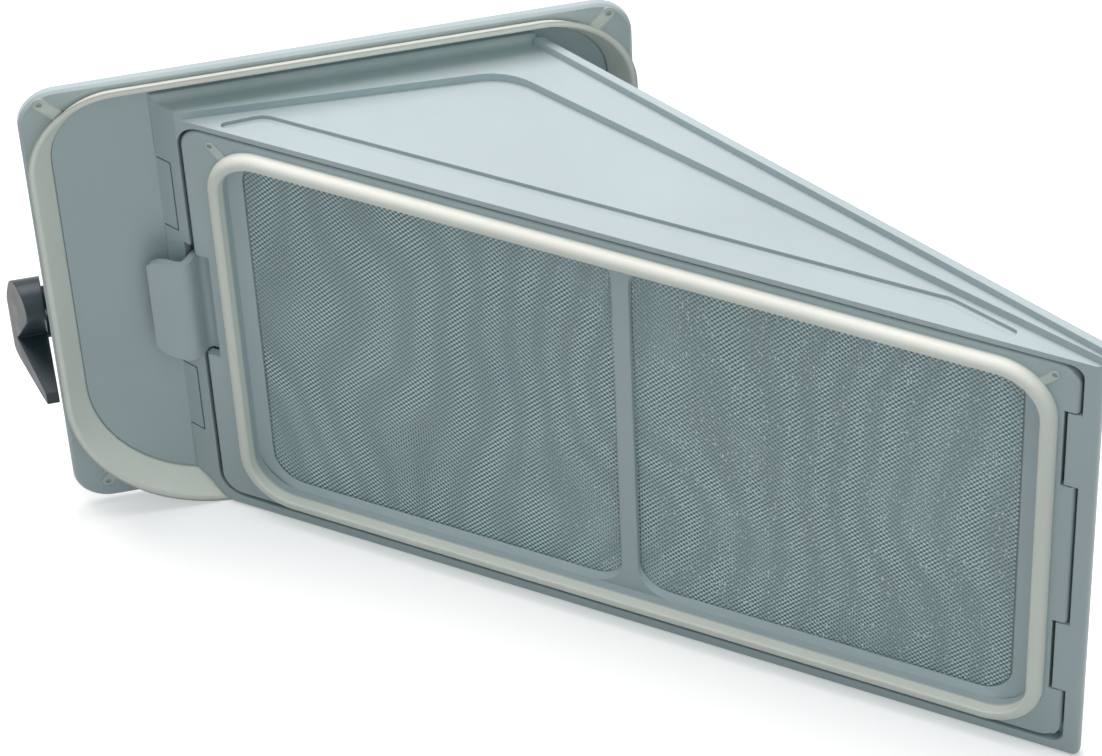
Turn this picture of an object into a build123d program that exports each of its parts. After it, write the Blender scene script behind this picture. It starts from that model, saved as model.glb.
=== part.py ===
"""Pull-out lint filter of a tumble dryer: plate, lip gasket, wedge body, mesh door and bail handle.

Millimetres, +Z up. The plate's inner face lies in the plane X = 0 and the wedge runs out along +X.
"""
import os
from math import atan, cos, hypot, radians, sin, tan

from build123d import *

# Fits
pin_clearance = 0.05
door_gap = 0.7
hinge_gap = 0.4
clip_gap = 0.45
arm_gap = 0.5

# Plate
plate_width = 145.0
plate_height = 128.0
plate_thickness = 2.8
plate_corner = 9.5
plate_edge = 0.7

# Lip gasket on the plate
lip_height = 6.5
lip_wall = 1.5
lip_crest_inset = 0.4
lip_overhang = 2.2
lip_flare = 4.2
lip_root = 2.0
lip_top_corner = 22.0
lip_bottom_corner = 40.0
lip_clearance = 0.4
tail_width = 3.4
tail_rise = 0.35
tail_top = 23.9
tail_bottom = 45.6
gate_radius = 0.6

# Wedge body in plan
neck_left = -42.1
neck_right = 48.5
door_foot = -45.2
door_angle = 37.0
door_reach = 235.0
tip_width = 3.43
strip_end = 10.2
tip_round = 1.5
wall = 2.0
frame_depth = 3.0
neck_wall = 2.4

# Wedge body in height
body_bottom = -66.0
panel_top = 55.5
floor_wall = 2.6
sill = 3.4
roof_wall = 1.5
bottom_round = 1.4
neck_bottom = -59.4
neck_reach = 3.0
neck_slope = 5.4
rim_rise = 1.8
rim_wall = 1.0

# Top of the body
band_rise = 2.1
band_left = 6.6
band_right = 11.0
band_corner_y = 40.5
band_corner = 16.0
band_tip = 0.8
rail_rise = 1.9
rail_width = 1.9
rail_start = 3.0
groove_width = 2.2
groove_depth = 0.95
groove_in = 8.2
groove_bend = 5.0
groove_start = 22.4
groove_knee = 29.1
groove_far = 197.3
groove_end = 213.3
groove_lead = 2.5
groove_trail = 3.7

# Air windows high in the back wall
window_start = 24.0
window_length = 30.0
window_height = 23.0
window_bar = 6.0
window_margin = 7.0
window_corner = 3.0

# Clip ears
ear_height = 20.0
ear_length = 4.4
ear_wall = 1.5
ear_spacing = 64.0
ear_centre = -1.5

# Door
door_corner = 5.6
pocket_corner = 3.3
door_depth = 4.2
skin = 2.4
tip_post = 4.4
door_edge = 0.5
seal_left = 6.9
seal_right = 4.6
seal_top = 1.8
seal_bottom = 2.0
seal_corner = 14.0
seal_width = 3.4
seal_height = 3.0
seal_round = 2.2
seal_lip = 0.4
recess_depth = 2.0
box_wall = 1.8
land_left = 3.6
land_right = 5.6
land_top = 2.0
land_bottom = 1.6
pane_corner = 8.0
mesh_depth = 3.3
mesh_wall = 0.4
mesh_margin = 1.6
mesh_columns = 12
mesh_rows = 6
mesh_thread = 1.6
mid_bar = 4.2
mid_shift = 0.4
seal_tail = 18.0
seal_tail_width = 2.2

# Door hinge
pin_radius = 0.75
knuckle_radius = 1.3
hinge_height = 22.0
hinge_spacing = 64.0
hinge_centre = -2.5
notch_left = 0.8
snap_slot = 1.2

# Finger tab
tab_height = 30.0
tab_wall = 1.8
tab_notch = 3.8
tab_notch_gap = 0.7
tab_tip = 0.4
tab_turn = 10.0
tab_slot = 0.9
tab_slot_above = 3.4
tab_bend = 2.4
tab_proud = 4.4
tab_corner = 7.0
tab_centre = -1.0

# Handle
pivot_x = -12.5
pivot_z = -7.0
pivot_radius = 3.0
bracket_radius = 7.0
bracket_wall = 7.0
bracket_inset = 0.4
bracket_foot = 10.0
arm_width = 8.5
arm_toe = 2.6
arm_radius = 5.5
arm_edge = 0.8
grip_inner = -21.0
grip_outer = -29.0
grip_top = -20.5
grip_bottom = -28.5
grip_round = 2.6
toe_x = -1.5
toe_height = 3.4
toe_drop = 3.0


# Plan directions and places measured along the door
slant = radians(door_angle)
corner_along = (neck_right - door_foot) * cos(slant)
corner_depth = (neck_right - door_foot) * sin(slant)
taper = atan((corner_depth - tip_width) / (door_reach - corner_along))
rear = slant + taper
door_face = Plane(
    origin=(0, door_foot, 0),
    x_dir=(sin(slant), cos(slant), 0),
    z_dir=(cos(slant), -sin(slant), 0),
)
out_of_door = Axis((0, 0, 0), (cos(slant), -sin(slant), 0))
back_face = Plane(
    origin=(0, neck_right, 0),
    x_dir=(sin(rear), cos(rear), 0),
    z_dir=(cos(rear), -sin(rear), 0),
)


def plan(along, depth=0.0):
    """Plan point at a distance along the door face and a depth behind it."""
    x = along * sin(slant) - depth * cos(slant)
    y = door_foot + along * cos(slant) + depth * sin(slant)
    return (x, y)


def back_depth(along, inset=0.0):
    """Depth of the back wall's outer face, or of a line inset from it, behind the door face."""
    return corner_depth - (along - corner_along) * tan(taper) - inset / cos(taper)


def back_along(depth, inset=0.0):
    """Place along the door where the back wall, or a line inset from it, has this depth."""
    return corner_along + (corner_depth - inset / cos(taper) - depth) / tan(taper)


# Door outline, seal outline and window, all measured on the door face
door_left = strip_end + door_gap
door_right = door_reach - tip_post
door_top = panel_top - roof_wall - door_gap
door_bottom = body_bottom + sill + door_gap
hinge_along = door_right - knuckle_radius
seal_u0 = door_left + seal_left
seal_u1 = door_right - seal_right
seal_z0 = door_bottom + seal_bottom
seal_z1 = door_top - seal_top
recess_u0 = seal_u0 + seal_width
recess_u1 = seal_u1 - seal_width
recess_z0 = seal_z0 + seal_width
recess_z1 = seal_z1 - seal_width
recess_corner = seal_corner - seal_width
pane_u0 = recess_u0 + land_left
pane_u1 = recess_u1 - land_right
pane_z0 = recess_z0 + land_bottom
pane_z1 = recess_z1 - land_top
bar_mid = (pane_u0 + pane_u1) / 2 + mid_shift

# Outline of the wedge in plan
outline = [
    (0, neck_left),
    plan(strip_end),
    plan(door_reach),
    plan(door_reach, back_depth(door_reach)),
    (0, neck_right),
]

# Directions of the left strip and of the back wall, for the clip ears
strip_run = hypot(plan(strip_end)[0], plan(strip_end)[1] - neck_left)
strip_x = plan(strip_end)[0] / strip_run
strip_y = (plan(strip_end)[1] - neck_left) / strip_run
ear_levels = [ear_centre - ear_spacing / 2, ear_centre + ear_spacing / 2]
hinge_levels = [hinge_centre - hinge_spacing / 2, hinge_centre + hinge_spacing / 2]


def left_ear(length, outside, inside):
    """Plan corners of an ear in the left strip's wall, from the middle of the plate."""
    foot = neck_left - plate_thickness / 2 * strip_y / strip_x
    end_x = length * strip_x
    end_y = neck_left + length * strip_y
    return [
        (-plate_thickness / 2, foot - outside / strip_x),
        (end_x + outside * strip_y, end_y - outside * strip_x),
        (end_x - inside * strip_y, end_y + inside * strip_x),
        (-plate_thickness / 2, foot + inside / strip_x),
    ]


def right_ear(length, outside, inside):
    """Plan corners of an ear in the back wall, from the middle of the plate."""
    foot = neck_right - plate_thickness / 2 / tan(rear)
    end_x = length * sin(rear)
    end_y = neck_right + length * cos(rear)
    return [
        (-plate_thickness / 2, foot + outside / sin(rear)),
        (end_x - outside * cos(rear), end_y + outside * sin(rear)),
        (end_x + inside * cos(rear), end_y - inside * sin(rear)),
        (-plate_thickness / 2, foot - inside / sin(rear)),
    ]


# Size of the lip gasket's crest, and outlines set in from it
crest_y = plate_width / 2 - lip_crest_inset
crest_z = plate_height / 2 + lip_overhang
lip_inner_root = lip_flare + lip_root


def lip_outline(inset):
    """Rounded outline set in from the crest, drawn in the open sketch."""
    half_y = crest_y - inset
    half_z = crest_z - inset
    top = lip_top_corner - inset
    bottom = lip_bottom_corner - inset
    corners = [(half_y, half_z), (-half_y, half_z), (-half_y, -half_z), (half_y, -half_z)]
    with BuildLine() as path:
        FilletPolyline(*corners, radius=[top, top, bottom, bottom], close=True)
    make_face(path.edges())


def lip_inset(x):
    """How far the lip's inner face is set in from the crest at a distance from the plate."""
    return lip_inner_root + (lip_wall - lip_inner_root) * x / lip_height


def door_rectangle(u0, u1, z0, z1, corner, mode=Mode.ADD):
    """Rounded rectangle on the door face between two places along it and two heights."""
    with Locations(((u0 + u1) / 2, (z0 + z1) / 2)):
        RectangleRounded(u1 - u0, z1 - z0, corner, mode=mode)


# Plate with its handle brackets and clip ears
bracket_end = plate_width / 2 - bracket_inset
bracket_top = pivot_z + bracket_radius
bracket_low = pivot_z - bracket_radius
with BuildPart() as front_plate:
    with BuildSketch(Plane.YZ.offset(-plate_thickness)):
        RectangleRounded(plate_width, plate_height, plate_corner)
    extrude(amount=plate_thickness)
    chamfer(front_plate.edges().group_by(Axis.X)[0], plate_edge)
    chamfer(front_plate.edges().group_by(Axis.X)[-1], plate_edge)
    with BuildSketch(Plane.XZ.offset(-bracket_end)):
        with BuildLine():
            Line((-plate_thickness / 2, bracket_top + bracket_foot), (pivot_x, bracket_top))
            RadiusArc((pivot_x, bracket_top), (pivot_x, bracket_low), -bracket_radius)
            Line((pivot_x, bracket_low), (-plate_thickness / 2, bracket_low))
            Line((-plate_thickness / 2, bracket_low), (-plate_thickness / 2, bracket_top + bracket_foot))
        make_face()
        with Locations((pivot_x, pivot_z)):
            Circle(pivot_radius + pin_clearance, mode=Mode.SUBTRACT)
    extrude(amount=bracket_wall)
    mirror(about=Plane.XZ)
    for level in ear_levels:
        with BuildSketch(Plane.XY.offset(level - ear_height / 2)):
            Polygon(*left_ear(ear_length, 0, ear_wall), align=None)
            Polygon(*right_ear(ear_length, 0, ear_wall), align=None)
        extrude(amount=ear_height)
front_plate.part.label = "front_plate"

# Lip gasket with four flat corner tails
tail_ends = [
    (crest_y - lip_top_corner, crest_z - lip_top_corner, lip_top_corner - lip_flare, tail_top),
    (crest_y - lip_bottom_corner, lip_bottom_corner - crest_z, lip_bottom_corner - lip_flare, tail_bottom),
]
with BuildPart() as plate_gasket:
    with BuildSketch(Plane.YZ):
        lip_outline(lip_flare)
    with BuildSketch(Plane.YZ.offset(lip_height)):
        lip_outline(0)
    loft(ruled=True)
    with BuildSketch(Plane.YZ):
        lip_outline(lip_inner_root)
    with BuildSketch(Plane.YZ.offset(lip_height)):
        lip_outline(lip_wall)
    loft(ruled=True, mode=Mode.SUBTRACT)
    with BuildSketch(Plane.YZ):
        for centre_y, centre_z, near, far in tail_ends:
            start = near + tail_width / 2 - lip_root / 2
            reach = (start + far) / 2 / 2**0.5
            gate = far / 2**0.5
            up = 1 if centre_z > 0 else -1
            for side in (-1, 1):
                with Locations((side * (centre_y + reach), centre_z + up * reach)):
                    SlotCenterToCenter(far - start, tail_width, rotation=45 * side * up)
                with Locations((side * (centre_y + gate), centre_z + up * gate)):
                    Circle(gate_radius, mode=Mode.SUBTRACT)
    extrude(amount=tail_rise)
plate_gasket.part.label = "plate_gasket"

# Room that the body's neck leaves for the lip
with BuildPart() as lip_room:
    with BuildSketch(Plane.YZ):
        Rectangle(2 * plate_width, 2 * plate_height)
    extrude(amount=lip_height + lip_clearance)
    with BuildSketch(Plane.YZ):
        lip_outline(lip_inner_root + lip_clearance)
    with BuildSketch(Plane.YZ.offset(lip_height + lip_clearance)):
        lip_outline(lip_inset(lip_height + lip_clearance) + lip_clearance)
    loft(ruled=True, mode=Mode.SUBTRACT)

# Hollow of the neck, and of the wedge behind the door frame
neck_end = neck_reach + neck_slope
inner_tip = back_along(frame_depth, wall)
roof = panel_top - roof_wall
inner_outline = [
    (0, neck_left + neck_wall),
    plan(strip_end, frame_depth),
    plan(inner_tip, frame_depth),
    (0, neck_right - wall / sin(rear)),
]
with BuildPart() as neck_hollow:
    with BuildSketch(Plane.YZ):
        lip_outline(lip_inner_root + lip_clearance + wall)
    with BuildSketch(Plane.YZ.offset(neck_end)):
        lip_outline(lip_inset(neck_end) + lip_clearance + wall)
    loft(ruled=True)
    with BuildSketch(Plane.XY.offset(neck_bottom + wall)):
        Polygon(*inner_outline, align=None)
    extrude(amount=roof - neck_bottom - wall, mode=Mode.INTERSECT)

# Low rim with a hollow curve where the neck meets the plate
band_top = panel_top + band_rise
with BuildPart() as neck_rim:
    with BuildSketch(Plane.XZ):
        with BuildLine():
            Line((0, panel_top), (0, band_top + rim_rise))
            Line((0, band_top + rim_rise), (rim_wall, band_top + rim_rise))
            RadiusArc((rim_wall, band_top + rim_rise), (rim_wall + rim_rise, band_top), -rim_rise)
            Line((rim_wall + rim_rise, band_top), (rim_wall + rim_rise, panel_top))
            Line((rim_wall + rim_rise, panel_top), (0, panel_top))
        make_face()
    extrude(amount=plate_width, both=True)
    with BuildSketch(Plane.XY.offset(panel_top)):
        Polygon(*outline, align=None)
    extrude(amount=2 * (band_rise + rim_rise), mode=Mode.INTERSECT)

# Wedge body
band_slope = (band_right - band_left) / (band_corner_y - neck_left)
panel_edge = [
    (band_left - band_slope * plate_width, neck_left - plate_width),
    (band_right, band_corner_y),
    plan(door_reach, band_tip),
    plan(door_reach + plate_width, band_tip),
    plan(door_reach + plate_width, -plate_width),
]
rail_edge = [
    (rail_start, neck_right + rail_start / tan(rear) - rail_width / sin(rear)),
    (rail_start, neck_right + rail_start / tan(rear) + plate_width),
    plan(door_reach + plate_width, plate_width),
    plan(door_reach + plate_width, back_depth(door_reach + plate_width, rail_width)),
]
groove_line = [
    plan(groove_start, groove_lead),
    plan(groove_knee, groove_in),
    plan(groove_far, groove_in),
    plan(groove_end, groove_trail),
]
socket = plan(hinge_along, knuckle_radius)
with BuildPart() as filter_body:
    with BuildSketch(Plane.XY.offset(body_bottom)) as foot:
        Polygon(*outline, align=None)
        fillet(foot.vertices().sort_by(Axis.X)[-2:], tip_round)
    extrude(amount=panel_top - body_bottom)
    fillet(filter_body.edges().group_by(Axis.Z)[0].filter_by_position(Axis.X, 1, 2 * door_reach), bottom_round)
    with BuildSketch(Plane.XY.offset(panel_top)) as band:
        Polygon(*outline, align=None)
        fillet(band.vertices().sort_by(Axis.X)[-2:], tip_round)
        with BuildLine():
            FilletPolyline(*panel_edge, radius=[0, band_corner, 0, 0, 0], close=True)
        make_face(mode=Mode.SUBTRACT)
    extrude(amount=band_rise)
    with BuildSketch(Plane.XY.offset(panel_top + band_rise)) as rail:
        Polygon(*outline, align=None)
        fillet(rail.vertices().sort_by(Axis.X)[-2:], tip_round)
        Polygon(*rail_edge, align=None, mode=Mode.INTERSECT)
    extrude(amount=rail_rise)
    add(neck_rim.part)
    with BuildSketch(Plane.XY.offset(panel_top - groove_depth)):
        with BuildLine():
            FilletPolyline(*groove_line, radius=groove_bend)
        trace(line_width=groove_width)
        with Locations(groove_line[0], groove_line[-1]):
            Circle(groove_width / 2)
    extrude(amount=groove_depth, mode=Mode.SUBTRACT)
    with BuildSketch(Plane.XZ):
        Polygon(
            (-1, neck_bottom),
            (neck_reach, neck_bottom),
            (neck_end, body_bottom),
            (neck_end, body_bottom - 1),
            (-1, body_bottom - 1),
            align=None,
        )
    extrude(amount=plate_width, both=True, mode=Mode.SUBTRACT)
    add(lip_room.part, mode=Mode.SUBTRACT)
    add(neck_hollow.part, mode=Mode.SUBTRACT)
    with BuildSketch(Plane.XY.offset(body_bottom + floor_wall)):
        Polygon(*inner_outline, align=None)
        with Locations((neck_end, 0)):
            Rectangle(
                2 * door_reach,
                4 * plate_width,
                align=(Align.MIN, Align.CENTER),
                mode=Mode.INTERSECT,
            )
    extrude(amount=roof - body_bottom - floor_wall, mode=Mode.SUBTRACT)
    with BuildSketch(door_face):
        door_rectangle(
            door_left - door_gap,
            door_right - door_corner,
            door_bottom - door_gap,
            door_top + door_gap,
            door_corner + door_gap,
        )
        door_rectangle(
            door_left + door_corner,
            door_right + door_gap,
            door_bottom - door_gap,
            door_top + door_gap,
            pocket_corner,
        )
    extrude(amount=-frame_depth, mode=Mode.SUBTRACT)
    with BuildSketch(door_face):
        with Locations((tab_turn - tab_wall / 2 - tab_slot, tab_centre - tab_height / 2 - tab_slot)):
            Rectangle(
                strip_end - tab_turn + tab_wall / 2 + tab_slot + door_gap,
                tab_height + tab_slot + tab_slot_above,
                align=(Align.MIN, Align.MIN),
            )
    extrude(amount=-2 * door_depth, mode=Mode.SUBTRACT)
    for level in hinge_levels:
        with BuildSketch(Plane.XY.offset(level - hinge_height / 2 + hinge_gap)):
            Polygon(
                plan(hinge_along - knuckle_radius, 0),
                plan(door_right + tip_post / 2, 0),
                plan(door_right + tip_post / 2, back_depth(door_right + tip_post / 2, wall / 2)),
                plan(hinge_along - knuckle_radius, back_depth(hinge_along - knuckle_radius, wall / 2)),
                align=None,
            )
            with Locations(socket):
                Circle(pin_radius + pin_clearance, mode=Mode.SUBTRACT)
            with BuildLine():
                Line(socket, plan(hinge_along - 2 * knuckle_radius, knuckle_radius))
            trace(line_width=snap_slot, mode=Mode.SUBTRACT)
        extrude(amount=hinge_height - 2 * hinge_gap)
    with BuildSketch(back_face):
        for start in (window_start, window_start + window_length + window_bar):
            with Locations((start, roof - window_margin)):
                RectangleRounded(window_length, window_height, window_corner, align=(Align.MIN, Align.MAX))
    extrude(amount=2 * wall, mode=Mode.SUBTRACT)
    for level in ear_levels:
        with BuildSketch(Plane.XY.offset(level - ear_height / 2 - clip_gap)):
            Polygon(*left_ear(ear_length + clip_gap, 1, 2 * wall), align=None)
            Polygon(*right_ear(ear_length + clip_gap, 1, 2 * wall), align=None)
        extrude(amount=ear_height + 2 * clip_gap, mode=Mode.SUBTRACT)
filter_body.part.label = "filter_body"

# Finger tab, a curled tongue with rounded outer corners
tab_path = [
    plan(recess_u0, door_depth - tab_wall / 2),
    plan(tab_turn, door_depth - tab_wall / 2),
    plan(tab_turn, -tab_proud + tab_wall / 4),
    plan(tab_tip, -tab_proud),
]
with BuildPart() as finger_tab:
    with BuildSketch(Plane.XY.offset(tab_centre - tab_height / 2)):
        with BuildLine():
            FilletPolyline(*tab_path, radius=tab_bend)
        trace(line_width=tab_wall)
    extrude(amount=tab_height)
    with BuildSketch(door_face):
        door_rectangle(
            tab_tip - tab_wall,
            recess_u0 + 2 * tab_corner,
            tab_centre - tab_height / 2,
            tab_centre + tab_height / 2,
            tab_corner,
        )
    extrude(amount=2 * tab_proud, both=True, mode=Mode.INTERSECT)

# Round hinge edge of the door, trimmed by the door's rounded corners
with BuildPart() as hinge_edge:
    with BuildSketch(Plane.XY.offset(door_bottom)):
        with Locations(socket):
            Circle(knuckle_radius)
    extrude(amount=door_top - door_bottom)
    with BuildSketch(door_face):
        door_rectangle(door_left, door_right + pin_clearance, door_bottom, door_top, door_corner)
    extrude(amount=2 * door_depth, both=True, mode=Mode.INTERSECT)

# Door frame with window, hinge pins and finger tab
with BuildPart() as filter_door:
    with BuildSketch(door_face):
        door_rectangle(door_left, door_right, door_bottom, door_top, door_corner)
    extrude(amount=-door_depth)
    chamfer(filter_door.edges().group_by(out_of_door)[-1], door_edge)
    with BuildSketch(door_face.offset(-door_depth)):
        door_rectangle(door_left - 1, door_right + 1, door_bottom - 1, door_top + 1, door_corner)
        door_rectangle(
            recess_u0 - box_wall,
            recess_u1 + box_wall,
            recess_z0 - box_wall,
            recess_z1 + box_wall,
            recess_corner + box_wall,
            Mode.SUBTRACT,
        )
    extrude(amount=door_depth - skin, mode=Mode.SUBTRACT)
    with BuildSketch(door_face):
        with Locations((hinge_along, (door_bottom + door_top) / 2)):
            Rectangle(4 * knuckle_radius, 2 * plate_height, align=(Align.MIN, Align.CENTER))
    extrude(amount=-door_depth, mode=Mode.SUBTRACT)
    add(hinge_edge.part)
    with BuildSketch(door_face):
        door_rectangle(recess_u0, recess_u1, recess_z0, recess_z1, recess_corner)
    extrude(amount=-recess_depth, mode=Mode.SUBTRACT)
    panes = [
        (recess_u0, bar_mid - mid_bar / 2, pane_u0, bar_mid - mid_bar / 2),
        (bar_mid + mid_bar / 2, recess_u1, bar_mid + mid_bar / 2, pane_u1),
    ]
    for front_u0, front_u1, rear_u0, rear_u1 in panes:
        with BuildSketch(door_face.offset(-recess_depth)):
            door_rectangle(front_u0, front_u1, recess_z0, recess_z1, pane_corner)
        with BuildSketch(door_face.offset(-mesh_depth)):
            door_rectangle(rear_u0, rear_u1, pane_z0, pane_z1, pane_corner)
        loft(ruled=True, mode=Mode.SUBTRACT)
    with BuildSketch(door_face.offset(-mesh_depth)):
        door_rectangle(
            pane_u0 - mesh_margin,
            pane_u1 + mesh_margin,
            pane_z0 - mesh_margin,
            pane_z1 + mesh_margin,
            pane_corner,
        )
    extrude(amount=-door_depth, mode=Mode.SUBTRACT)
    with BuildSketch(door_face):
        with Locations((door_left + tab_notch, tab_centre)):
            Rectangle(
                2 * tab_notch,
                tab_height + 2 * tab_notch_gap,
                align=(Align.MAX, Align.CENTER),
            )
    extrude(amount=-door_depth, mode=Mode.SUBTRACT)
    for level in hinge_levels:
        with BuildSketch(door_face):
            with Locations((hinge_along - knuckle_radius - notch_left, level)):
                Rectangle(4 * knuckle_radius, hinge_height, align=(Align.MIN, Align.CENTER))
        extrude(amount=-door_depth, mode=Mode.SUBTRACT)
        with BuildSketch(Plane.XY.offset(level - hinge_height / 2 - 1)):
            with Locations(socket):
                Circle(pin_radius)
        extrude(amount=hinge_height + 2)
    add(finger_tab.part)
filter_door.part.label = "filter_door"

# Mesh sheet in the rebate behind the two panes, an open grid
sheet_u0 = pane_u0 - mesh_margin + clip_gap
sheet_u1 = pane_u1 + mesh_margin - clip_gap
sheet_z0 = pane_z0 - mesh_margin + clip_gap
sheet_z1 = pane_z1 + mesh_margin - clip_gap
step_u = (sheet_u1 - sheet_u0 - 2 * mesh_margin) / mesh_columns
step_z = (sheet_z1 - sheet_z0 - 2 * mesh_margin) / mesh_rows
cells = [
    (sheet_u0 + mesh_margin + (column + 0.5) * step_u, sheet_z0 + mesh_margin + (row + 0.5) * step_z)
    for column in range(mesh_columns)
    for row in range(mesh_rows)
]
with BuildPart() as filter_mesh:
    with BuildSketch(door_face.offset(-mesh_depth - mesh_wall)):
        door_rectangle(sheet_u0, sheet_u1, sheet_z0, sheet_z1, pane_corner)
        with Locations(*cells):
            Rectangle(step_u - mesh_thread, step_z - mesh_thread, mode=Mode.SUBTRACT)
    extrude(amount=mesh_wall)
filter_mesh.part.label = "filter_mesh"

# Soft bead on the door with a flat tail at each upper corner
with BuildPart() as door_seal:
    with BuildSketch(door_face):
        door_rectangle(seal_u0, seal_u1, seal_z0, seal_z1, seal_corner)
        door_rectangle(recess_u0, recess_u1, recess_z0, recess_z1, recess_corner, Mode.SUBTRACT)
    extrude(amount=seal_height)
    fillet(door_seal.faces().sort_by(out_of_door)[-1].outer_wire().edges(), seal_round)
    chamfer(door_seal.faces().sort_by(out_of_door)[-1].inner_wires()[0].edges(), seal_lip)
    with BuildSketch(door_face):
        tail_mid = (seal_corner - 1 + seal_tail) / 2 / 2**0.5
        tail_length = seal_tail - seal_corner + 1
        gate = seal_tail / 2**0.5
        with Locations((seal_u0 + seal_corner - tail_mid, seal_z1 - seal_corner + tail_mid)):
            SlotCenterToCenter(tail_length, seal_tail_width, rotation=-45)
        with Locations((seal_u1 - seal_corner + tail_mid, seal_z1 - seal_corner + tail_mid)):
            SlotCenterToCenter(tail_length, seal_tail_width, rotation=45)
        with Locations(
            (seal_u0 + seal_corner - gate, seal_z1 - seal_corner + gate),
            (seal_u1 - seal_corner + gate, seal_z1 - seal_corner + gate),
        ):
            Circle(gate_radius, mode=Mode.SUBTRACT)
    extrude(amount=tail_rise)
door_seal.part.label = "door_seal"

# Bail handle with splayed arms, grip bar and pivot stubs
arm_inner = plate_width / 2 + arm_gap
arm_outer = arm_inner + arm_width
grip_mid = ((grip_inner + grip_outer) / 2, (grip_top + grip_bottom) / 2)
with BuildPart() as handle:
    with BuildSketch(Plane.XZ.offset(-arm_inner)):
        with Locations((pivot_x, pivot_z)):
            Circle(arm_radius)
        with Locations(grip_mid):
            RectangleRounded(grip_inner - grip_outer, grip_top - grip_bottom, grip_round)
        make_hull()
    extrude(amount=-arm_width)
    with BuildSketch(Plane.XZ.offset(-arm_inner)):
        with Locations(grip_mid):
            RectangleRounded(grip_inner - grip_outer, grip_top - grip_bottom, grip_round)
        with Locations((toe_x, grip_bottom - toe_drop)):
            Rectangle(toe_height, toe_height, align=(Align.MAX, Align.MIN))
        make_hull()
    extrude(amount=-arm_width)
    with BuildSketch(Plane.XY.offset(2 * grip_bottom)):
        Polygon(
            (0, arm_inner),
            (0, arm_inner + arm_toe),
            (grip_inner, arm_outer),
            (2 * grip_outer, arm_outer),
            (2 * grip_outer, arm_inner),
            align=None,
        )
    extrude(amount=-4 * grip_bottom, mode=Mode.INTERSECT)
    chamfer(handle.edges().group_by(Axis.Y)[-1], arm_edge)
    with BuildSketch(Plane.XZ.offset(-arm_inner - arm_gap)):
        with Locations((pivot_x, pivot_z)):
            Circle(pivot_radius)
    extrude(amount=arm_gap + arm_gap + bracket_inset + bracket_wall - arm_gap)
    mirror(about=Plane.XZ)
    with BuildSketch(Plane.XZ.offset(-arm_inner)):
        with Locations(grip_mid):
            RectangleRounded(grip_inner - grip_outer, grip_top - grip_bottom, grip_round)
    extrude(amount=2 * arm_inner)
handle.part.label = "handle"

os.makedirs("parts", exist_ok=True)
export_step(front_plate.part, "parts/front_plate.step")
export_step(plate_gasket.part, "parts/plate_gasket.step")
export_step(filter_body.part, "parts/filter_body.step")
export_step(filter_door.part, "parts/filter_door.step")
export_step(filter_mesh.part, "parts/filter_mesh.step")
export_step(door_seal.part, "parts/door_seal.step")
export_step(handle.part, "parts/handle.step")
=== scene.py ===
import math

import bpy
import numpy as np
from mathutils import Matrix, Vector


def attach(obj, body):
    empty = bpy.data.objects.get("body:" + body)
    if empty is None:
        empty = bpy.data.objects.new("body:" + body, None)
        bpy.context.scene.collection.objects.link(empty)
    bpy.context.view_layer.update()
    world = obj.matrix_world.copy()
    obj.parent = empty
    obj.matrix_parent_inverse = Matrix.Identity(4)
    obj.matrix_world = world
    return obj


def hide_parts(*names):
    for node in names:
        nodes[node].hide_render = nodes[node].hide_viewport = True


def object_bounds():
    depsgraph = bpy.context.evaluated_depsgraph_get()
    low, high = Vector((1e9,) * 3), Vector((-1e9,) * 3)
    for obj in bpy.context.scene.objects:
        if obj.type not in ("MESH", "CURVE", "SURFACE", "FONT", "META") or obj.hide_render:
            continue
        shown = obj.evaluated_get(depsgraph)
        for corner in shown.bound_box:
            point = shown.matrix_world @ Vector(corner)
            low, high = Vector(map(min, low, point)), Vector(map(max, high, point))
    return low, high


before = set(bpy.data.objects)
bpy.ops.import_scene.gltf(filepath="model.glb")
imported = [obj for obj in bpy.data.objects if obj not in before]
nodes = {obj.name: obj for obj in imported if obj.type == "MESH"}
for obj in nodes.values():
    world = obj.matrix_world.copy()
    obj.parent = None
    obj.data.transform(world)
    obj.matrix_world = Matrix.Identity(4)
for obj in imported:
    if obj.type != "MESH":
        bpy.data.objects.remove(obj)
cad_low, cad_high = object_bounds()
scene = bpy.context.scene

UP = Vector((0.0, 0.0, 1.0))

# The door's plane, in metres: the same line as the door in the CAD source
DOOR_FOOT = Vector((0.0, -0.0452, 0.0))
DOOR_SLANT = math.radians(37.0)
ALONG_DOOR = Vector((math.sin(DOOR_SLANT), math.cos(DOOR_SLANT), 0.0))
OUT_OF_DOOR = Vector((math.cos(DOOR_SLANT), -math.sin(DOOR_SLANT), 0.0))

# Linear colours of the materials
GREY = (0.415, 0.500, 0.515)
GREY_WORN = (0.56, 0.63, 0.65)
PALE = (0.80, 0.815, 0.745)
# Dulled rubber: worn edges of the bead, and dust and painted shade on the lip's upward faces
PALE_DUSTY = (0.60, 0.62, 0.565)
# The same rubber as PALE painted lighter on the plate's lip: painted light for the lip's flanks that the
# lamps reach little
LIP_PALE_LIT = (0.87, 0.885, 0.81)
TAIL = (0.58, 0.64, 0.61)
SLATE = (0.026, 0.043, 0.050)
SLATE_WORN = (0.11, 0.14, 0.15)
# Woven mesh: painted shade and painted light of one thread colour, a softer painted shade, and painted
# glints
THREAD_SHADED = (0.070, 0.115, 0.126)
THREAD_LIT = (0.74, 0.93, 0.95)
THREAD_SHADED_SOFT = (0.145, 0.215, 0.232)
GLINT = (0.95, 0.97, 0.97)

# Noise: features per metre of the broad tone and of the patches, and how rough every noise is
BROAD_SCALE = 18.0
PATCH_SCALE = 160.0
NOISE_ROUGHNESS = 0.55

# How near a facing wall must stand for painted shade to darken a crevice
CREVICE_SHADE_REACH = 0.0016

# Dust and painted shade on upward faces grow from the first to the second value of the normal's upward
# part and of the height
DUST_AND_SHADE_FACING = (0.25, 0.70)
DUST_AND_SHADE_HEIGHT = (0.02, 0.05)

# Height over the plate and over the door under which a soft piece is flat tail, and its blur
LIP_TAIL = 0.00045
BEAD_TAIL = 0.0005
TAIL_BLUR = 0.00005

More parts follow.
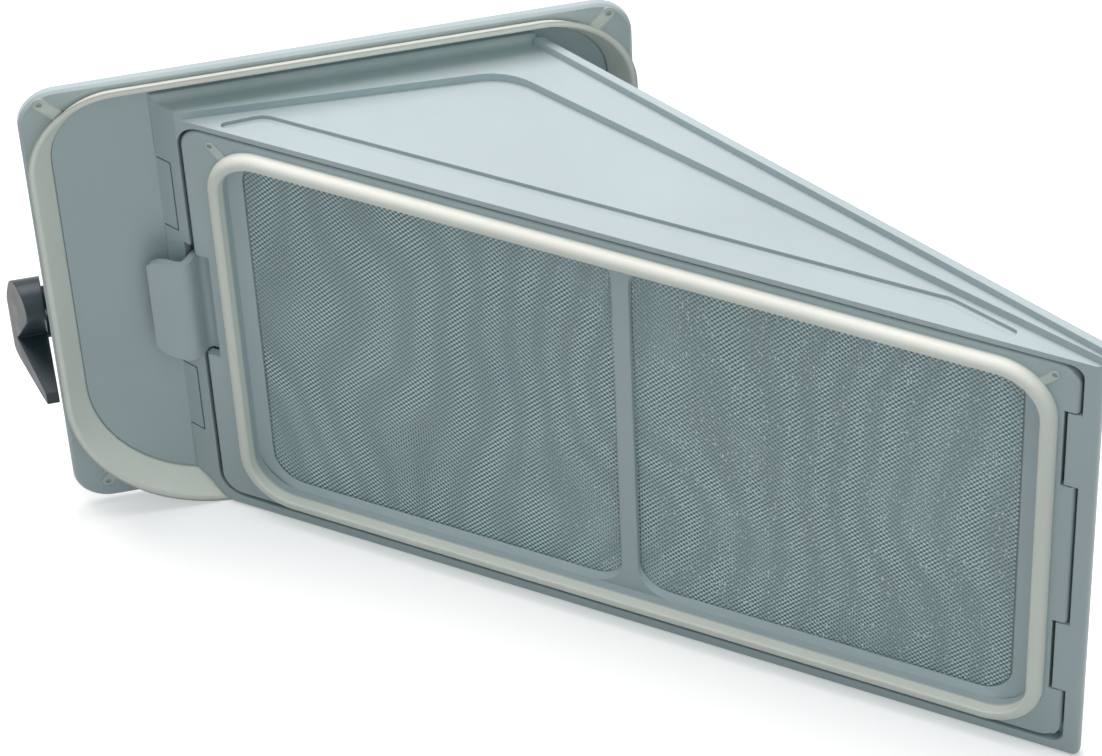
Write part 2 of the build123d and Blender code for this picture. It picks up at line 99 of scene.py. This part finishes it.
# Woven mesh: threads, how far they wander, and the strip at the edge where they run straight
THREAD_PITCH = 0.00070
THREAD_HALF_WIDTH = 0.00021
THREAD_HALF_DEPTH = 0.00007
WAVE_HEIGHT = 0.00010
WARP_STEPS = 14
SWAY = 0.00016
FINE_SWAY = 0.00008
BULGE = 0.00022
STRAIGHT_STRIP = 0.004
WEFT_SHIFT = 0.37
EDGE_ROOM = 1.2

# Distances from the plate between which the mesh's painted glints grow to their full strength
GLINTS_FROM = 0.045
GLINTS_TO = 0.085

# Section of a thread, and the sheet's own directions: along the door, up it and out of it
RIDGE = np.array(((-1.0, -1.0), (0.0, 1.0), (1.0, -1.0)))
SHEET_ALONG, SHEET_UP, SHEET_OUT = np.eye(3)


def add(tree, kind, **settings):
    """A new shader node with its settings."""
    made = tree.nodes.new(kind)
    for name, value in settings.items():
        setattr(made, name, value)
    return made


def noise(tree, place, scale, detail):
    """A noise texture in the piece's own metres."""
    made = add(tree, "ShaderNodeTexNoise")
    made.inputs["Scale"].default_value = scale
    made.inputs["Detail"].default_value = detail
    made.inputs["Roughness"].default_value = NOISE_ROUGHNESS
    tree.links.new(place, made.inputs["Vector"])
    return made.outputs["Fac"]


def spread(tree, source, low, high, to_low, to_high, clamp=True):
    """A value stretched from one range to another."""
    made = add(tree, "ShaderNodeMapRange", clamp=clamp)
    for name, value in (("From Min", low), ("From Max", high), ("To Min", to_low), ("To Max", to_high)):
        made.inputs[name].default_value = value
    tree.links.new(source, made.inputs["Value"])
    return made.outputs["Result"]


def times(tree, one, other):
    """The product of two values."""
    made = add(tree, "ShaderNodeMath", operation="MULTIPLY")
    tree.links.new(one, made.inputs[0])
    tree.links.new(other, made.inputs[1])
    return made.outputs[0]


def mixed(tree, amount, one, other):
    """A colour between two, each a colour or the output of a node."""
    made = add(tree, "ShaderNodeMix", data_type="RGBA")
    tree.links.new(amount, made.inputs["Factor"])
    for socket, value in ((made.inputs[6], one), (made.inputs[7], other)):
        if isinstance(value, tuple):
            socket.default_value = (*value, 1.0)
        else:
            tree.links.new(value, socket)
    return made.outputs[2]


def shade(colour, amount):
    """A colour made darker or lighter."""
    return tuple(channel * amount for channel in colour)


def within(tree, place, outward, level):
    """1 where a place lies under a level along a direction, 0 above it."""
    height = add(tree, "ShaderNodeVectorMath", operation="DOT_PRODUCT")
    height.inputs[1].default_value = outward
    tree.links.new(place, height.inputs[0])
    return spread(tree, height.outputs["Value"], level - TAIL_BLUR, level + TAIL_BLUR, 1.0, 0.0)


def upper_side(tree, place, facing):
    """1 on surfaces that face up in the upper part of a piece, 0 elsewhere."""
    masks = []
    for source, (low, high) in ((facing, DUST_AND_SHADE_FACING), (place, DUST_AND_SHADE_HEIGHT)):
        parts = add(tree, "ShaderNodeSeparateXYZ")
        tree.links.new(source, parts.inputs[0])
        masks.append(spread(tree, parts.outputs["Z"], low, high, 0.0, 1.0))
    return times(tree, *masks)


def seen_directly(tree):
    """1 for rays from the camera, from a gloss or through a surface, 0 for diffuse light."""
    path = add(tree, "ShaderNodeLightPath")
    either = path.outputs["Is Camera Ray"]
    for name in ("Is Glossy Ray", "Is Transmission Ray"):
        made = add(tree, "ShaderNodeMath", operation="MAXIMUM")
        tree.links.new(either, made.inputs[0])
        tree.links.new(path.outputs[name], made.inputs[1])
        either = made.outputs[0]
    return either


def moulded(
    name, colour, worn, rough, grain, depth, edge, wear,
    soft=0.0, crevice_shade=1.0, tails=None, dust_and_shade=None, gloss=0.5,
):
    """A moulded surface: broad tone, fine grain, softened edges a little worn, and painted shade that
    darkens crevices.
    """
    material = bpy.data.materials.new(name)
    material.use_nodes = True
    tree = material.node_tree
    shader = tree.nodes["Principled BSDF"]
    place = add(tree, "ShaderNodeTexCoord").outputs["Object"]

    broad = noise(tree, place, BROAD_SCALE, 4.0)
    fine = noise(tree, place, grain, 2.0)
    patch = noise(tree, place, PATCH_SCALE, 4.0)
    uneven = spread(tree, broad, 0.35, 0.65, 0.0, 1.0)
    tone = mixed(tree, uneven, shade(colour, 0.955), shade(colour, 1.035))
    speck = mixed(tree, spread(tree, fine, 0.3, 0.7, 0.0, 0.35), tone, shade(colour, 0.93))

    rounded = add(tree, "ShaderNodeBevel", samples=4)
    rounded.inputs["Radius"].default_value = edge
    flat = add(tree, "ShaderNodeNewGeometry").outputs["Normal"]
    turn = add(tree, "ShaderNodeVectorMath", operation="DOT_PRODUCT")
    tree.links.new(rounded.outputs["Normal"], turn.inputs[0])
    tree.links.new(flat, turn.inputs[1])
    at_edge = spread(tree, turn.outputs["Value"], 0.99, 0.80, 0.0, wear)
    rubbed = times(tree, at_edge, spread(tree, patch, 0.35, 0.65, 0.4, 1.0))
    # Painted shade: where a wall stands close, the colour goes towards a quarter of itself
    open_air = add(tree, "ShaderNodeAmbientOcclusion", samples=8)
    open_air.inputs["Distance"].default_value = CREVICE_SHADE_REACH
    painted_crevice_shade = spread(tree, open_air.outputs["AO"], 0.08, 0.60, crevice_shade, 0.0)
    cleaned = mixed(tree, rubbed, speck, worn)
    # Dust and painted shade: upward faces of the upper part darker, which tempers the overhead light
    if dust_and_shade:
        cleaned = mixed(tree, upper_side(tree, place, flat), cleaned, dust_and_shade)
    if tails:
        cleaned = mixed(tree, within(tree, place, *tails), cleaned, TAIL)
    tree.links.new(mixed(tree, painted_crevice_shade, cleaned, shade(colour, 0.25)), shader.inputs["Base Color"])

    tree.links.new(spread(tree, patch, 0.3, 0.7, rough - 0.05, rough + 0.06), shader.inputs["Roughness"])
    bump = add(tree, "ShaderNodeBump")
    bump.inputs["Strength"].default_value = 0.35
    bump.inputs["Distance"].default_value = depth
    tree.links.new(fine, bump.inputs["Height"])
    tree.links.new(rounded.outputs["Normal"], bump.inputs["Normal"])
    tree.links.new(bump.outputs["Normal"], shader.inputs["Normal"])
    shader.inputs["Specular IOR Level"].default_value = gloss
    shader.inputs["Subsurface Weight"].default_value = soft
    shader.inputs["Subsurface Scale"].default_value = 0.002
    return material


def far_end(tree, place):
    """How near a place is to the wedge's tip: a quarter by the plate, 1 towards the tip."""
    parts = add(tree, "ShaderNodeSeparateXYZ")
    tree.links.new(place, parts.inputs[0])
    return spread(tree, parts.outputs["X"], GLINTS_FROM, GLINTS_TO, 0.25, 1.0)


def crossings(tree, place, first, pitch, wander):
    """1 where a thread along the door lies on top, 0 where an upright thread does."""
    waves = []
    for direction, start, step in zip((tuple(ALONG_DOOR), tuple(UP)), first, pitch):
        run = add(tree, "ShaderNodeVectorMath", operation="DOT_PRODUCT")
        run.inputs[1].default_value = direction
        tree.links.new(place, run.inputs[0])
        turns = spread(tree, run.outputs["Value"], start, start + step, 0.0, math.pi, clamp=False)
        shifted = add(tree, "ShaderNodeMath", operation="ADD")
        tree.links.new(turns, shifted.inputs[0])
        tree.links.new(wander, shifted.inputs[1])
        wave = add(tree, "ShaderNodeMath", operation="COSINE")
        tree.links.new(shifted.outputs[0], wave.inputs[0])
        waves.append(wave.outputs[0])
    return spread(tree, times(tree, *waves), -0.7, 0.7, 0.0, 1.0)


def woven(name, first, pitch):
    """Monofilament threads: painted light where a thread along the door lies on top, painted shade where
    an upright one does, in painted moiré bands, with painted glints.
    """
    material = bpy.data.materials.new(name)
    material.use_nodes = True
    tree = material.node_tree
    shader = tree.nodes["Principled BSDF"]
    place = add(tree, "ShaderNodeTexCoord").outputs["Object"]
    fine = noise(tree, place, 1400.0, 2.0)
    # Painted moiré: wavy bands that change how strong the threads' painted light and shade are
    painted_moire = add(tree, "ShaderNodeTexWave", wave_type="BANDS", bands_direction="X")
    for socket, value in (("Scale", 50.0), ("Distortion", 16.0), ("Detail", 1.0), ("Detail Scale", 0.30)):
        painted_moire.inputs[socket].default_value = value
    tree.links.new(place, painted_moire.inputs["Vector"])
    wander = spread(tree, noise(tree, place, 22.0, 0.5), 0.0, 1.0, 0.0, 6.0)
    # Painted light and shade: threads along the door lit where they lie on top, upright threads shaded
    on_top = crossings(tree, place, first, pitch, wander)
    soft_painted_shading = mixed(tree, on_top, THREAD_SHADED_SOFT, shade(THREAD_LIT, 0.76))
    strong_painted_shading = mixed(tree, on_top, THREAD_SHADED, THREAD_LIT)
    thread = mixed(tree, spread(tree, painted_moire.outputs["Fac"], 0.1, 0.8, 0.0, 1.0), soft_painted_shading, strong_painted_shading)
    # Painted glints: bright specks, more of them towards the tip
    sparks = spread(tree, noise(tree, place, 1900.0, 0.0), 0.70, 0.76, 0.0, 1.0)
    glint = times(tree, sparks, far_end(tree, place))
    tree.links.new(mixed(tree, glint, thread, GLINT), shader.inputs["Base Color"])
    tree.links.new(spread(tree, fine, 0.3, 0.7, 0.28, 0.46), shader.inputs["Roughness"])
    bump = add(tree, "ShaderNodeBump")
    bump.inputs["Strength"].default_value = 0.2
    bump.inputs["Distance"].default_value = 0.00003
    tree.links.new(fine, bump.inputs["Height"])
    tree.links.new(bump.outputs["Normal"], shader.inputs["Normal"])
    return material


def dress(name, material):
    """One material on a CAD node."""
    slots = nodes[name].data.materials
    slots.clear()
    slots.append(material)


grey_plastic = moulded(
    "grey_plastic", GREY, GREY_WORN, rough=0.42, grain=2600.0, depth=0.00004, edge=0.0004, wear=0.55,
    crevice_shade=0.6,
)
lip_tails = ((1.0, 0.0, 0.0), LIP_TAIL)
bead_tails = (tuple(OUT_OF_DOOR), DOOR_FOOT.dot(OUT_OF_DOOR) + BEAD_TAIL)
# The lip: rubber painted lighter, with dust and painted shade on its upward faces
lip_rubber = moulded(
    "lip_rubber", LIP_PALE_LIT, PALE_DUSTY, rough=0.58, grain=1700.0, depth=0.00003, edge=0.0012, wear=0.0,
    soft=0.05, crevice_shade=0.0, tails=lip_tails, dust_and_shade=PALE_DUSTY,
)
bead_rubber = moulded(
    "bead_rubber", PALE, PALE_DUSTY, rough=0.58, grain=1700.0, depth=0.00003, edge=0.0004, wear=0.2,
    soft=0.05, crevice_shade=0.3, tails=bead_tails,
)
dark_plastic = moulded(
    "dark_plastic", SLATE, SLATE_WORN, rough=0.40, grain=2600.0, depth=0.00004, edge=0.0006, wear=0.35,
    gloss=0.3,
)
for piece in ("front_plate", "filter_body", "filter_door"):
    dress(piece, grey_plastic)
dress("plate_gasket", lip_rubber)
dress("door_seal", bead_rubber)
dress("handle", dark_plastic)


def door_box(name):
    """Lowest and highest place of a CAD node along the door, up it and out of it."""
    mesh = nodes[name].data
    points = np.empty(len(mesh.vertices) * 3)
    mesh.vertices.foreach_get("co", points)
    points = points.reshape(-1, 3) - np.array(DOOR_FOOT)
    across = points @ np.array(ALONG_DOOR)
    outward = points @ np.array(OUT_OF_DOOR)
    places = np.stack([across, points[:, 2], outward], axis=1)
    return places.min(axis=0), places.max(axis=0)


def drift(a, b):
    """How far the weave wanders sideways and out of its plane at a place on the door."""
    sideways = SWAY * np.sin(a * 61.0 + 3.1 * np.sin(b * 47.0))
    sideways = sideways + FINE_SWAY * np.sin(a * 173.0 + b * 89.0)
    outward = BULGE * np.sin(a * 52.0 + 1.3) * np.sin(b * 71.0 + 0.4)
    return sideways, outward


def eased(a, first, last):
    """0 at the sheet's edge and 1 inside it, so that the outermost threads run straight."""
    return np.clip(min(a - first, last - a) / STRAIGHT_STRIP, 0.0, 1.0)


def thread_ribs(lines):
    """Vertices and faces of ridged ribbons along lines of points, each an array of (along, up, out)."""
    vertices = []
    faces = []
    start = 0
    for line, across in lines:
        profile = THREAD_HALF_WIDTH * RIDGE[:, :1] * across + THREAD_HALF_DEPTH * RIDGE[:, 1:] * SHEET_OUT
        vertices.append((line[:, None, :] + profile[None, :, :]).reshape(-1, 3))
        steps = start + np.arange(len(line) - 1) * 3
        for side in (0, 1):
            near = steps + side
            faces += np.stack([near, near + 1, near + 4, near + 3], axis=1).tolist()
        start += len(line) * 3
    return np.concatenate(vertices), faces


def woven_sheet():
    """Straight upright threads and waved threads along the door, one over and one under."""
    low, high = door_box("filter_mesh")
    middle = (low[2] + high[2]) / 2.0
    edge = THREAD_HALF_WIDTH * EDGE_ROOM
    columns = int((high[0] - low[0] - 2.0 * edge) / THREAD_PITCH)
    rows = int((high[1] - low[1] - 2.0 * edge) / THREAD_PITCH)
    along = np.linspace(low[0] + edge, high[0] - edge, columns + 1)
    up = np.linspace(low[1] + edge, high[1] - edge, rows + 1)
    lines = []
    for a in along:
        b = np.linspace(up[0], up[-1], WARP_STEPS)
        sideways, outward = drift(np.full_like(b, a), b)
        run = a + sideways * eased(a, along[0], along[-1])
        lines.append((np.stack([run, b, middle + outward], axis=1), SHEET_ALONG))
    for row, b in enumerate(up):
        wave = np.where((np.arange(len(along)) + row) % 2 == 0, WAVE_HEIGHT, -WAVE_HEIGHT)
        sideways = drift(np.full_like(along, b + WEFT_SHIFT), along)[0]
        lift = drift(along, np.full_like(along, b))[1]
        run = b + sideways * eased(b, up[0], up[-1])
        lines.append((np.stack([along, run, middle + lift + wave], axis=1), SHEET_UP))
    places, faces = thread_ribs(lines)
    points = (
        np.array(DOOR_FOOT)[None, :]
        + places[:, 0:1] * np.array(ALONG_DOOR)[None, :]
        + places[:, 1:2] * np.array(UP)[None, :]
        + places[:, 2:3] * np.array(OUT_OF_DOOR)[None, :]
    )
    mesh = bpy.data.meshes.new("woven_mesh")
    mesh.from_pydata(points.tolist(), [], faces)
    mesh.polygons.foreach_set("use_smooth", np.ones(len(mesh.polygons), dtype=bool))
    mesh.update()
    sheet = bpy.data.objects.new("woven_mesh", mesh)
    scene.collection.objects.link(sheet)
    first = (float(along[0]) + DOOR_FOOT.dot(ALONG_DOOR), float(up[0]))
    pitch = (float(along[1] - along[0]), float(up[1] - up[0]))
    mesh.materials.append(woven("mesh_fabric", first, pitch))
    return sheet, (float(high[0] - low[0]), float(high[1] - low[1]))


woven_mesh, mesh_size = woven_sheet()
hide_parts("filter_mesh")
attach(woven_mesh, "door")

# Floor and backdrop: white to the camera, darker to the light that bounces off it
FLOOR_SIZE = 6.0
FLOOR_ROOM = 0.00005
FLOOR_GREY = (0.42, 0.43, 0.44, 1.0)
FLOOR_PALE = (0.98, 0.98, 0.98, 1.0)
FLOOR_GLOW = 2.4
WHITE = (1.0, 1.0, 1.0, 1.0)

# The part of the floor that takes a shadow: its share near the object, and where it ends
SHADOW_SHARE = 0.85
SHADOW_NEAR = 0.35
SHADOW_FAR = 0.90

floor_mesh = bpy.data.meshes.new("floor")
corner = FLOOR_SIZE / 2.0
floor_level = cad_low[2] - FLOOR_ROOM
corners = ((-corner, -corner), (corner, -corner), (corner, corner), (-corner, corner))
floor_mesh.from_pydata([(x, y, floor_level) for x, y in corners], [], [(0, 1, 2, 3)])
floor = bpy.data.objects.new("floor", floor_mesh)
scene.collection.objects.link(floor)
floor_material = bpy.data.materials.new("pale_floor")
floor_material.use_nodes = True
tree = floor_material.node_tree
tree.nodes.clear()
end = add(tree, "ShaderNodeOutputMaterial")
plain = add(tree, "ShaderNodeBsdfDiffuse")
glow = add(tree, "ShaderNodeEmission")
shadowed = add(tree, "ShaderNodeBsdfDiffuse")
white = add(tree, "ShaderNodeMixShader")
choice = add(tree, "ShaderNodeMixShader")
plain.inputs["Color"].default_value = FLOOR_GREY
glow.inputs["Color"].default_value = WHITE
glow.inputs["Strength"].default_value = FLOOR_GLOW
shadowed.inputs["Color"].default_value = FLOOR_PALE
away = add(tree, "ShaderNodeVectorMath", operation="LENGTH")
tree.links.new(add(tree, "ShaderNodeTexCoord").outputs["Object"], away.inputs[0])
share = spread(tree, away.outputs["Value"], SHADOW_NEAR, SHADOW_FAR, SHADOW_SHARE, 0.0)
tree.links.new(share, white.inputs["Fac"])
tree.links.new(glow.outputs[0], white.inputs[1])
tree.links.new(shadowed.outputs[0], white.inputs[2])
tree.links.new(seen_directly(tree), choice.inputs["Fac"])
tree.links.new(plain.outputs[0], choice.inputs[1])
tree.links.new(white.outputs[0], choice.inputs[2])
tree.links.new(choice.outputs[0], end.inputs["Surface"])
floor_mesh.materials.append(floor_material)

# World: white to the camera, a soft even light to the object
SKY = (0.85, 0.985, 1.0, 1.0)
SKY_STRENGTH = 0.35
world = bpy.data.worlds.new("studio")
scene.world = world
world.use_nodes = True
tree = world.node_tree
tree.nodes.clear()
end = add(tree, "ShaderNodeOutputWorld")
sky = add(tree, "ShaderNodeBackground")
paper = add(tree, "ShaderNodeBackground")
choice = add(tree, "ShaderNodeMixShader")
sky.inputs["Color"].default_value = SKY
sky.inputs["Strength"].default_value = SKY_STRENGTH
paper.inputs["Color"].default_value = WHITE
paper.inputs["Strength"].default_value = 1.0
tree.links.new(seen_directly(tree), choice.inputs["Fac"])
tree.links.new(sky.outputs[0], choice.inputs[1])
tree.links.new(paper.outputs[0], choice.inputs[2])
tree.links.new(choice.outputs[0], end.inputs["Surface"])

# Two softboxes: a large one overhead, a weak one in front
MIDDLE = Vector((0.05, 0.03, 0.0))


def softbox(name, place, size, power, colour):
    """A square lamp that faces the middle of the object."""
    lamp = bpy.data.lights.new(name, "AREA")
    lamp.shape = "SQUARE"
    lamp.size = size
    lamp.energy = power
    lamp.color = colour
    made = bpy.data.objects.new(name, lamp)
    made.location = place
    made.rotation_euler = (MIDDLE - Vector(place)).to_track_quat("-Z", "Y").to_euler()
    scene.collection.objects.link(made)


softbox("overhead", place=(-0.24, -0.08, 1.28), size=1.0, power=19.8, colour=(1.0, 0.905, 0.908))
softbox("in_front", place=(1.0, 0.10, 0.75), size=0.9, power=2.4, colour=(0.93, 1.0, 1.0))

# Camera at the photograph's angle
CAMERA_PLACE = (0.75718, -0.08368, 0.64448)
CAMERA_AZIMUTH = math.radians(169.899)
CAMERA_ELEVATION = math.radians(-42.0015)
CAMERA_ROLL = math.radians(2.9974)
PICTURE = (1102.0, 756.0)
FOCAL_PIXELS = 4126.92
CENTRE_PIXEL = (560.507, 370.774)
SENSOR = 36.0

ahead = Vector(
    (
        math.cos(CAMERA_ELEVATION) * math.cos(CAMERA_AZIMUTH),
        math.cos(CAMERA_ELEVATION) * math.sin(CAMERA_AZIMUTH),
        math.sin(CAMERA_ELEVATION),
    )
)
level = ahead.cross(UP).normalized()
down = ahead.cross(level).normalized()
right = level * math.cos(CAMERA_ROLL) + down * math.sin(CAMERA_ROLL)
low_side = down * math.cos(CAMERA_ROLL) - level * math.sin(CAMERA_ROLL)
lens = bpy.data.cameras.new("photo_camera")
lens.sensor_fit = "HORIZONTAL"
lens.sensor_width = SENSOR
lens.lens = FOCAL_PIXELS * SENSOR / PICTURE[0]
lens.shift_x = (PICTURE[0] / 2.0 - CENTRE_PIXEL[0]) / PICTURE[0]
lens.shift_y = (CENTRE_PIXEL[1] - PICTURE[1] / 2.0) / PICTURE[0]
lens.clip_start = 0.01
lens.clip_end = 50.0
camera = bpy.data.objects.new("photo_camera", lens)
turned = Matrix((right, -low_side, -ahead)).transposed()
camera.matrix_world = Matrix.Translation(Vector(CAMERA_PLACE)) @ turned.to_4x4()
scene.collection.objects.link(camera)
scene.camera = camera
scene.view_settings.view_transform = "Standard"
